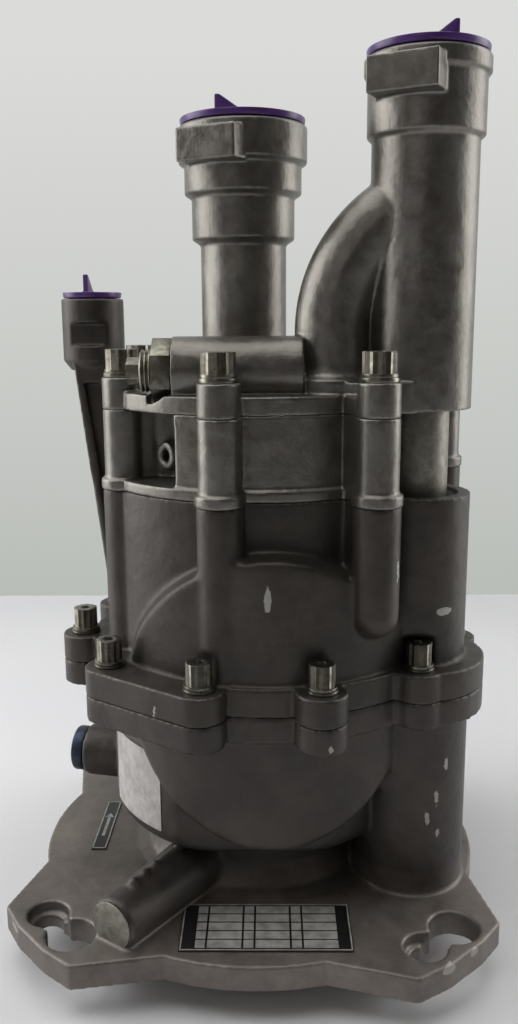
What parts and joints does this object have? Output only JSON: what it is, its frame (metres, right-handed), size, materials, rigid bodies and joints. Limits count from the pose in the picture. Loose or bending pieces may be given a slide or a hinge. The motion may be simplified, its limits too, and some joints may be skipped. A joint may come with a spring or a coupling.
{
  "type": "hydraulic pump",
  "caption": "Engine-driven variable-displacement axial piston pump standing on its flange, with suction, outlet and drain ports under push-in covers.",
  "frame": {"origin": "centre of the mounting pilot's end face, which the pump stands on, on the shaft axis", "axes": "+Z along the shaft away from the drive, -Y towards the side with the data plate, +X towards the outlet port"},
  "size_m": [0.1784, 0.1784, 0.3146],
  "materials": {
    "dark_casting": "semi-gloss, worn",
    "light_casting": "satin metallic",
    "ground_steel": "ground",
    "spring_steel": "oiled",
    "fastener_steel": "dull",
    "purple_plastic": "moulded",
    "bronze": "machined",
    "seal_rubber": "matt",
    "blue_plug": "anodised"
  },
  "bodies": {
    "housing": {"drive_housing": "dark_casting", "main_housing": "dark_casting", "port_block": "light_casting", "port_cap": "light_casting", "transfer_tube": "ground_steel", "cap_bolts": "fastener_steel", "cap_washers": "fastener_steel", "rim_bolts": "fastener_steel", "rim_washers": "fastener_steel", "shaft_seal": "seal_rubber", "front_bearing_outer": "ground_steel", "rear_bearing": "ground_steel", "valve_plate": "bronze", "trunnion_bushes": "bronze", "drain_plug": "blue_plug", "lock_nut": "fastener_steel", "compensator_spring": "spring_steel", "return_spring": "spring_steel"},
    "rotor": {"drive_shaft": "ground_steel", "front_bearing_inner": "ground_steel", "cylinder_block": "ground_steel", "retainer_plate": "ground_steel", "retainer_guide": "ground_steel", "hold_down_spring": "spring_steel"},
    "rollers": {"front_bearing_rollers": "ground_steel"},
    "tilting_hanger": {"hanger": "ground_steel", "wear_plate": "ground_steel"},
    "control": {"control_piston": "ground_steel"},
    "return": {"return_piston": "ground_steel"},
    "seat": {"spring_seat": "ground_steel"},
    "screw": {"adjusting_screw": "fastener_steel"},
    "spool": {"compensator_spool": "ground_steel"},
    "suction_cap": {"suction_cover": "purple_plastic"},
    "outlet_cap": {"outlet_cover": "purple_plastic"},
    "drain_cap": {"drain_cover": "purple_plastic"},
    "plunger_1": {"piston_1": "ground_steel", "slipper_1": "bronze"},
    "plunger_2": {"piston_2": "ground_steel", "slipper_2": "bronze"},
    "plunger_3": {"piston_3": "ground_steel", "slipper_3": "bronze"},
    "plunger_4": {"piston_4": "ground_steel", "slipper_4": "bronze"},
    "plunger_5": {"piston_5": "ground_steel", "slipper_5": "bronze"},
    "plunger_6": {"piston_6": "ground_steel", "slipper_6": "bronze"},
    "plunger_7": {"piston_7": "ground_steel", "slipper_7": "bronze"},
    "plunger_8": {"piston_8": "ground_steel", "slipper_8": "bronze"},
    "plunger_9": {"piston_9": "ground_steel", "slipper_9": "bronze"}
  },
  "joints": [
    {"name": "drive_spin", "type": "hinge", "parent": "housing", "child": "rotor", "pos_m": [0, 0, 0.042], "axis": [0, 0, 1], "continuous": true},
    {"name": "roller_orbit", "type": "hinge", "parent": "housing", "child": "rollers", "pos_m": [0, 0, 0.042], "axis": [0, 0, 1], "continuous": true},
    {"name": "hanger_tilt", "type": "hinge", "parent": "housing", "child": "tilting_hanger", "pos_m": [0, 0, 0.096], "axis": [0, -1, 0], "range_deg": [0, 14]},
    {"name": "control_stroke", "type": "slide", "parent": "housing", "child": "control", "axis": [0, 0, 1], "range_m": [0, 0.0076]},
    {"name": "return_stroke", "type": "slide", "parent": "housing", "child": "return", "axis": [0, 0, 1], "range_m": [-0.0087, 0]},
    {"name": "seat_shift", "type": "slide", "parent": "housing", "child": "seat", "axis": [1, 0, 0], "range_m": [-0.00187, 0]},
    {"name": "screw_turn", "type": "hinge", "parent": "seat", "child": "screw", "pos_m": [-0.03, -0.03, 0.2066], "axis": [1, 0, 0], "range_deg": [-540.3, 0]},
    {"name": "spool_shift", "type": "slide", "parent": "housing", "child": "spool", "axis": [1, 0, 0], "range_m": [0, 0.0025]},
    {"name": "suction_cap_pull", "type": "slide", "parent": "housing", "child": "suction_cap", "axis": [0, 0, 1], "range_m": [0, 0.06]},
    {"name": "outlet_cap_pull", "type": "slide", "parent": "housing", "child": "outlet_cap", "axis": [0, 0, 1], "range_m": [0, 0.06]},
    {"name": "drain_cap_pull", "type": "slide", "parent": "housing", "child": "drain_cap", "axis": [0, 0, 1], "range_m": [0, 0.06]},
    {"name": "plunger_1_stroke", "type": "slide", "parent": "rotor", "child": "plunger_1", "axis": [0, 0, 1], "range_m": [-0.0082, 0]},
    {"name": "plunger_2_stroke", "type": "slide", "parent": "rotor", "child": "plunger_2", "axis": [0, 0, 1], "range_m": [-0.0082, 0]},
    {"name": "plunger_3_stroke", "type": "slide", "parent": "rotor", "child": "plunger_3", "axis": [0, 0, 1], "range_m": [-0.0082, 0]},
    {"name": "plunger_4_stroke", "type": "slide", "parent": "rotor", "child": "plunger_4", "axis": [0, 0, 1], "range_m": [-0.0082, 0]},
    {"name": "plunger_5_stroke", "type": "slide", "parent": "rotor", "child": "plunger_5", "axis": [0, 0, 1], "range_m": [-0.0082, 0]},
    {"name": "plunger_6_stroke", "type": "slide", "parent": "rotor", "child": "plunger_6", "axis": [0, 0, 1], "range_m": [-0.0082, 0]},
    {"name": "plunger_7_stroke", "type": "slide", "parent": "rotor", "child": "plunger_7", "axis": [0, 0, 1], "range_m": [-0.0082, 0]},
    {"name": "plunger_8_stroke", "type": "slide", "parent": "rotor", "child": "plunger_8", "axis": [0, 0, 1], "range_m": [-0.0082, 0]},
    {"name": "plunger_9_stroke", "type": "slide", "parent": "rotor", "child": "plunger_9", "axis": [0, 0, 1], "range_m": [-0.0082, 0]}
  ],
  "couplings": [
    {"joint": "roller_orbit", "follows": "drive_spin", "ratio": 0.4371},
    {"joint": "control_stroke", "follows": "hanger_tilt", "m_per_rad": 0.0305},
    {"joint": "return_stroke", "follows": "hanger_tilt", "m_per_rad": -0.0348},
    {"joint": "screw_turn", "follows": "seat_shift", "rad_per_m": 5026.5}
  ]
}
